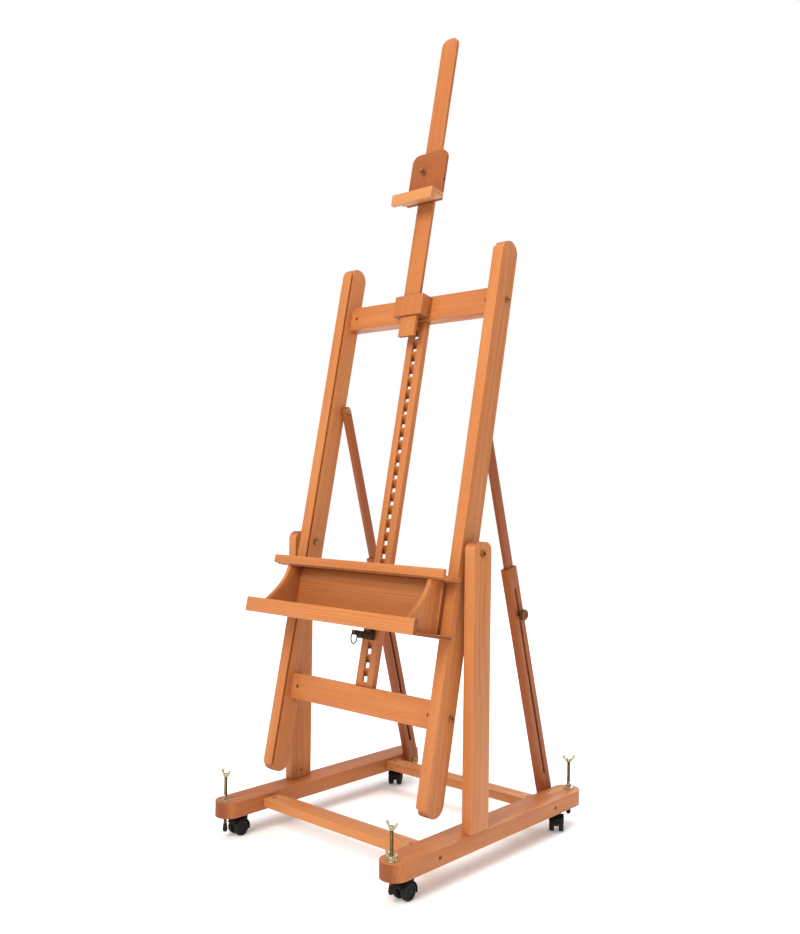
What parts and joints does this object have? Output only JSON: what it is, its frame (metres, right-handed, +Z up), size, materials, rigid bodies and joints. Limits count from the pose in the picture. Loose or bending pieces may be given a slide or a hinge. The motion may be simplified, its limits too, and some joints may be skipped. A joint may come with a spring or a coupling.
{
  "type": "studio easel",
  "caption": "Wooden studio easel on casters: a tilting frame with a ratchet-held canvas tray, a sliding top mast with a canvas holder, telescoping rear stays and levelling screws.",
  "frame": {"origin": "on the floor, under the middle of the base", "axes": "+X to the right for someone facing the easel's front, which faces -Y; +Y to the back; +Z up"},
  "size_m": [0.6122, 0.705, 2.0098],
  "materials": {
    "beech": "oiled, satin",
    "pale_beech": "oiled, satin",
    "brass": "polished",
    "dark_bronze": "dark antique bronze",
    "black_plastic": "satin"
  },
  "bodies": {
    "base": {"side_rail_left": "beech", "side_rail_right": "beech", "front_cross_rail": "beech", "rear_cross_rail": "beech", "post_left": "beech", "post_right": "beech", "pivot_bolt_left": "brass", "pivot_bolt_right": "brass", "pivot_spacer_left": "brass", "pivot_spacer_right": "brass", "stay_foot_bolt_left": "brass", "stay_foot_bolt_right": "brass"},
    "tilting_frame": {"stile_left": "beech", "stile_right": "beech", "lower_crossbar": "beech", "upper_crossbar": "beech", "ratchet_mast": "beech", "mast_guide_block": "beech", "crossbar_bolt_lower_left": "brass", "crossbar_bolt_lower_right": "brass", "crossbar_bolt_upper_left": "brass", "crossbar_bolt_upper_right": "brass"},
    "mast_lock": {"mast_lock_screw": "brass"},
    "sliding_mast": {"top_mast": "beech"},
    "canvas_holder": {"holder_plate": "beech", "holder_strap": "dark_bronze", "canvas_retainer": "pale_beech"},
    "holder_screw": {"holder_wing_screw": "brass"},
    "tray": {"canvas_ledge": "beech", "canvas_lip": "beech", "tray_back": "beech", "tray_floor": "beech", "tray_lip": "beech", "tray_bracket_left": "beech", "tray_bracket_right": "beech", "tray_guide_sleeve": "beech"},
    "tray_pawl": {"pawl": "dark_bronze"},
    "pull_ring": {"pawl_ring": "dark_bronze"},
    "stay_foot_left": {"stay_channel_left": "beech"},
    "stay_rod_left": {"stay_bar_left": "beech"},
    "stay_clamp_left": {"stay_knob_left": "brass"},
    "stay_foot_right": {"stay_channel_right": "beech"},
    "stay_rod_right": {"stay_bar_right": "beech"},
    "stay_clamp_right": {"stay_knob_right": "brass"},
    "caster_front_left": {"caster_housing_front_left": "black_plastic"},
    "wheels_front_left": {"caster_wheels_front_left": "black_plastic"},
    "levelling_front_left": {"levelling_screw_front_left": "brass"},
    "locking_nut_front_left": {"lock_nut_front_left": "brass"},
    "caster_front_right": {"caster_housing_front_right": "black_plastic"},
    "wheels_front_right": {"caster_wheels_front_right": "black_plastic"},
    "levelling_front_right": {"levelling_screw_front_right": "brass"},
    "locking_nut_front_right": {"lock_nut_front_right": "brass"},
    "caster_rear_left": {"caster_housing_rear_left": "black_plastic"},
    "wheels_rear_left": {"caster_wheels_rear_left": "black_plastic"},
    "levelling_rear_left": {"levelling_screw_rear_left": "brass"},
    "locking_nut_rear_left": {"lock_nut_rear_left": "brass"},
    "caster_rear_right": {"caster_housing_rear_right": "black_plastic"},
    "wheels_rear_right": {"caster_wheels_rear_right": "black_plastic"},
    "levelling_rear_right": {"levelling_screw_rear_right": "brass"},
    "locking_nut_rear_right": {"lock_nut_rear_right": "brass"}
  },
  "joints": [
    {"name": "frame_tilt", "type": "hinge", "parent": "base", "child": "tilting_frame", "pos_m": [0, -0.081, 0.697], "axis": [-1, 0, 0], "range_deg": [-11.5, 76]},
    {"name": "mast_slide", "type": "slide", "parent": "tilting_frame", "child": "sliding_mast", "axis": [0, 0.1994, 0.9799], "range_m": [-0.18, 0.045]},
    {"name": "mast_lock_turn", "type": "hinge", "parent": "tilting_frame", "child": "mast_lock", "pos_m": [0, 0.07742, 1.27502], "axis": [0, -0.9799, 0.1994], "continuous": true},
    {"name": "holder_slide", "type": "slide", "parent": "sliding_mast", "child": "canvas_holder", "axis": [0, 0.1994, 0.9799], "range_m": [-0.06, 0.29]},
    {"name": "holder_screw_turn", "type": "hinge", "parent": "canvas_holder", "child": "holder_screw", "pos_m": [-0.012, 0.0604, 1.6428], "axis": [0, -0.9799, 0.1994], "continuous": true},
    {"name": "tray_slide", "type": "slide", "parent": "tilting_frame", "child": "tray", "axis": [0, 0.1994, 0.9799], "range_m": [-0.065, 0.39]},
    {"name": "pawl_pull", "type": "hinge", "parent": "tray", "child": "tray_pawl", "pos_m": [0.012, -0.12494, 0.48857], "axis": [0, 0.1994, 0.9799], "range_deg": [0, 25], "stiffness_Nm_per_rad": 0.05, "springref_deg": -8.59},
    {"name": "ring_swing", "type": "hinge", "parent": "tray_pawl", "child": "pull_ring", "pos_m": [-0.05, -0.12404, 0.49299], "axis": [0.969, 0.247, 0], "range_deg": [-38, 15]},
    {"name": "stay_fold_left", "type": "hinge", "parent": "base", "child": "stay_foot_left", "pos_m": [-0.223, 0.291, 0.071], "axis": [-1, 0, 0], "range_deg": [-3, 14]},
    {"name": "stay_extend_left", "type": "slide", "parent": "stay_foot_left", "child": "stay_rod_left", "axis": [0, -0.2773, 0.9608], "range_m": [-0.382, 0.0585]},
    {"name": "stay_knob_turn_left", "type": "hinge", "parent": "stay_rod_left", "child": "stay_clamp_left", "pos_m": [-0.245, 0.1565, 0.53698], "axis": [-1, 0, 0], "continuous": true},
    {"name": "stay_fold_right", "type": "hinge", "parent": "base", "child": "stay_foot_right", "pos_m": [0.223, 0.291, 0.071], "axis": [-1, 0, 0], "range_deg": [-3, 14]},
    {"name": "stay_extend_right", "type": "slide", "parent": "stay_foot_right", "child": "stay_rod_right", "axis": [0, -0.2773, 0.9608], "range_m": [-0.382, 0.0585]},
    {"name": "stay_knob_turn_right", "type": "hinge", "parent": "stay_rod_right", "child": "stay_clamp_right", "pos_m": [0.245, 0.1565, 0.53698], "axis": [1, 0, 0], "continuous": true},
    {"name": "caster_swivel_front_left", "type": "hinge", "parent": "base", "child": "caster_front_left", "pos_m": [-0.2675, -0.277, 0.05], "axis": [0, 0, 1], "continuous": true},
    {"name": "wheels_roll_front_left", "type": "hinge", "parent": "caster_front_left", "child": "wheels_front_left", "pos_m": [-0.2675, -0.291, 0.019], "axis": [1, 0, 0], "continuous": true},
    {"name": "levelling_travel_front_left", "type": "slide", "parent": "base", "child": "levelling_front_left", "axis": [0, 0, 1], "range_m": [-0.027, 0.016]},
    {"name": "lock_nut_turn_front_left", "type": "hinge", "parent": "base", "child": "locking_nut_front_left", "pos_m": [-0.2675, -0.331, 0.095], "axis": [0, 0, 1], "continuous": true},
    {"name": "caster_swivel_front_right", "type": "hinge", "parent": "base", "child": "caster_front_right", "pos_m": [0.2675, -0.277, 0.05], "axis": [0, 0, 1], "continuous": true},
    {"name": "wheels_roll_front_right", "type": "hinge", "parent": "caster_front_right", "child": "wheels_front_right", "pos_m": [0.2675, -0.291, 0.019], "axis": [1, 0, 0], "continuous": true},
    {"name": "levelling_travel_front_right", "type": "slide", "parent": "base", "child": "levelling_front_right", "axis": [0, 0, 1], "range_m": [-0.032, 0.011]},
    {"name": "lock_nut_turn_front_right", "type": "hinge", "parent": "base", "child": "locking_nut_front_right", "pos_m": [0.2675, -0.331, 0.095], "axis": [0, 0, 1], "continuous": true},
    {"name": "caster_swivel_rear_left", "type": "hinge", "parent": "base", "child": "caster_rear_left", "pos_m": [-0.2675, 0.277, 0.05], "axis": [0, 0, 1], "continuous": true},
    {"name": "wheels_roll_rear_left", "type": "hinge", "parent": "caster_rear_left", "child": "wheels_rear_left", "pos_m": [-0.26008, 0.26513, 0.019], "axis": [0.848, 0.5299, 0], "continuous": true},
    {"name": "levelling_travel_rear_left", "type": "slide", "parent": "base", "child": "levelling_rear_left", "axis": [0, 0, 1], "range_m": [-0.032, 0.011]},
    {"name": "lock_nut_turn_rear_left", "type": "hinge", "parent": "base", "child": "locking_nut_rear_left", "pos_m": [-0.2675, 0.331, 0.095], "axis": [0, 0, 1], "continuous": true},
    {"name": "caster_swivel_rear_right", "type": "hinge", "parent": "base", "child": "caster_rear_right", "pos_m": [0.2675, 0.277, 0.05], "axis": [0, 0, 1], "continuous": true},
    {"name": "wheels_roll_rear_right", "type": "hinge", "parent": "caster_rear_right", "child": "wheels_rear_right", "pos_m": [0.27492, 0.26513, 0.019], "axis": [0.848, 0.5299, 0], "continuous": true},
    {"name": "levelling_travel_rear_right", "type": "slide", "parent": "base", "child": "levelling_rear_right", "axis": [0, 0, 1], "range_m": [-0.035, 0.008]},
    {"name": "lock_nut_turn_rear_right", "type": "hinge", "parent": "base", "child": "locking_nut_rear_right", "pos_m": [0.2675, 0.331, 0.095], "axis": [0, 0, 1], "continuous": true}
  ],
  "couplings": [
    {"joint": "stay_fold_left", "follows": "frame_tilt", "ratio": 0.17582},
    {"joint": "stay_extend_left", "follows": "frame_tilt", "m_per_rad": -0.28745},
    {"joint": "stay_fold_right", "follows": "frame_tilt", "ratio": 0.17582},
    {"joint": "stay_extend_right", "follows": "frame_tilt", "m_per_rad": -0.28745}
  ]
}
